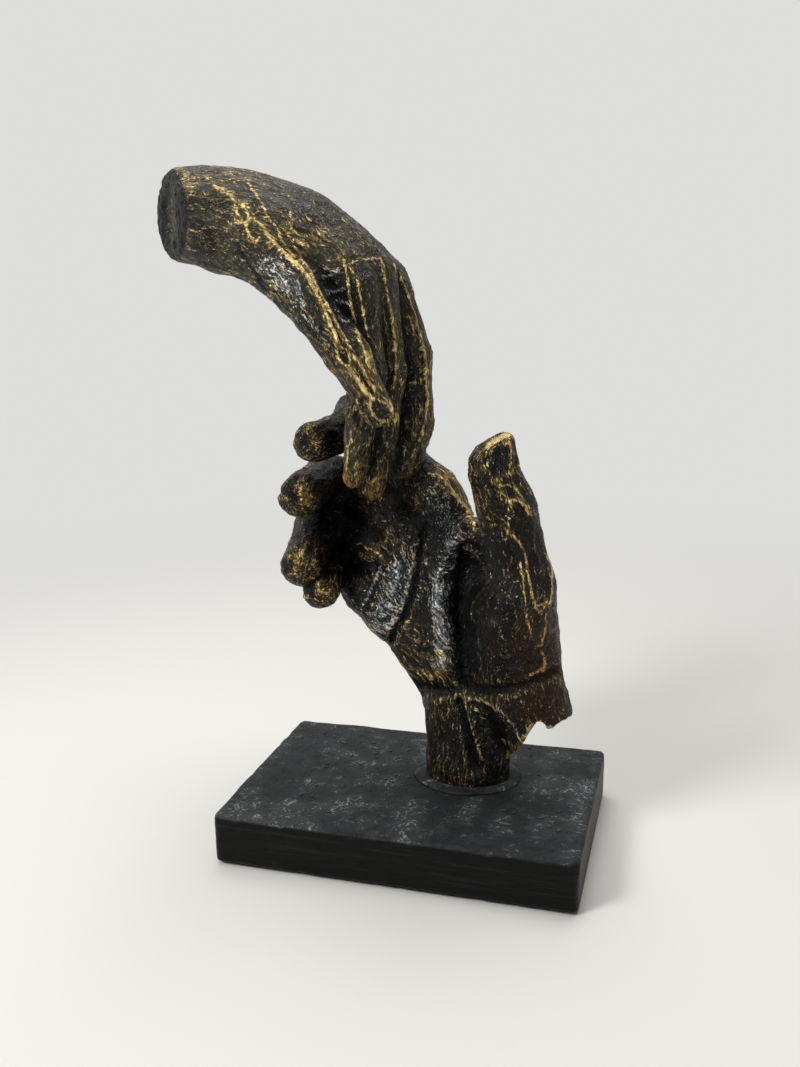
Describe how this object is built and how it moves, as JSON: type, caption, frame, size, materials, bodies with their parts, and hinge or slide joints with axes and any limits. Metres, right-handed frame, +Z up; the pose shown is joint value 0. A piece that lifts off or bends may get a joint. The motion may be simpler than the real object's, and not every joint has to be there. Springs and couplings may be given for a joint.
{
  "type": "clasped hands sculpture",
  "caption": "Small ceramic sculpture of one hand reaching down into the grip of another that rises from a rectangular plinth, in dark patina with gold highlights.",
  "frame": {"origin": "middle of the underside, on the felt's lower face", "axes": "+Z up, +X along the plinth's long side towards the side where the lower thumb stands, -Y towards the front, where the palm of the lower hand looks"},
  "size_m": [0.1964, 0.1028, 0.2809],
  "materials": {
    "lower_hand_patina": "fired ceramic under a near-black cold patina, dry-brushed with gold on its ridges",
    "upper_hand_patina": "fired ceramic under a near-black cold patina, dry-brushed with gold on its ridges",
    "plinth_charcoal": "cast block painted matt charcoal, with pits and chalky smears",
    "filler_charcoal": "filler painted matt charcoal",
    "plain_steel": "plain drawn steel",
    "zinc_steel": "zinc plated steel",
    "felt": "black self-adhesive felt"
  },
  "bodies": {
    "root": {"plinth": "plinth_charcoal", "foot_bead": "filler_charcoal", "lower_hand": "lower_hand_patina", "upper_hand": "upper_hand_patina", "clasp_dowel": "plain_steel", "fixing_stud": "zinc_steel", "fixing_washer": "zinc_steel", "fixing_nut": "zinc_steel", "base_felt": "felt"}
  },
  "joints": []
}
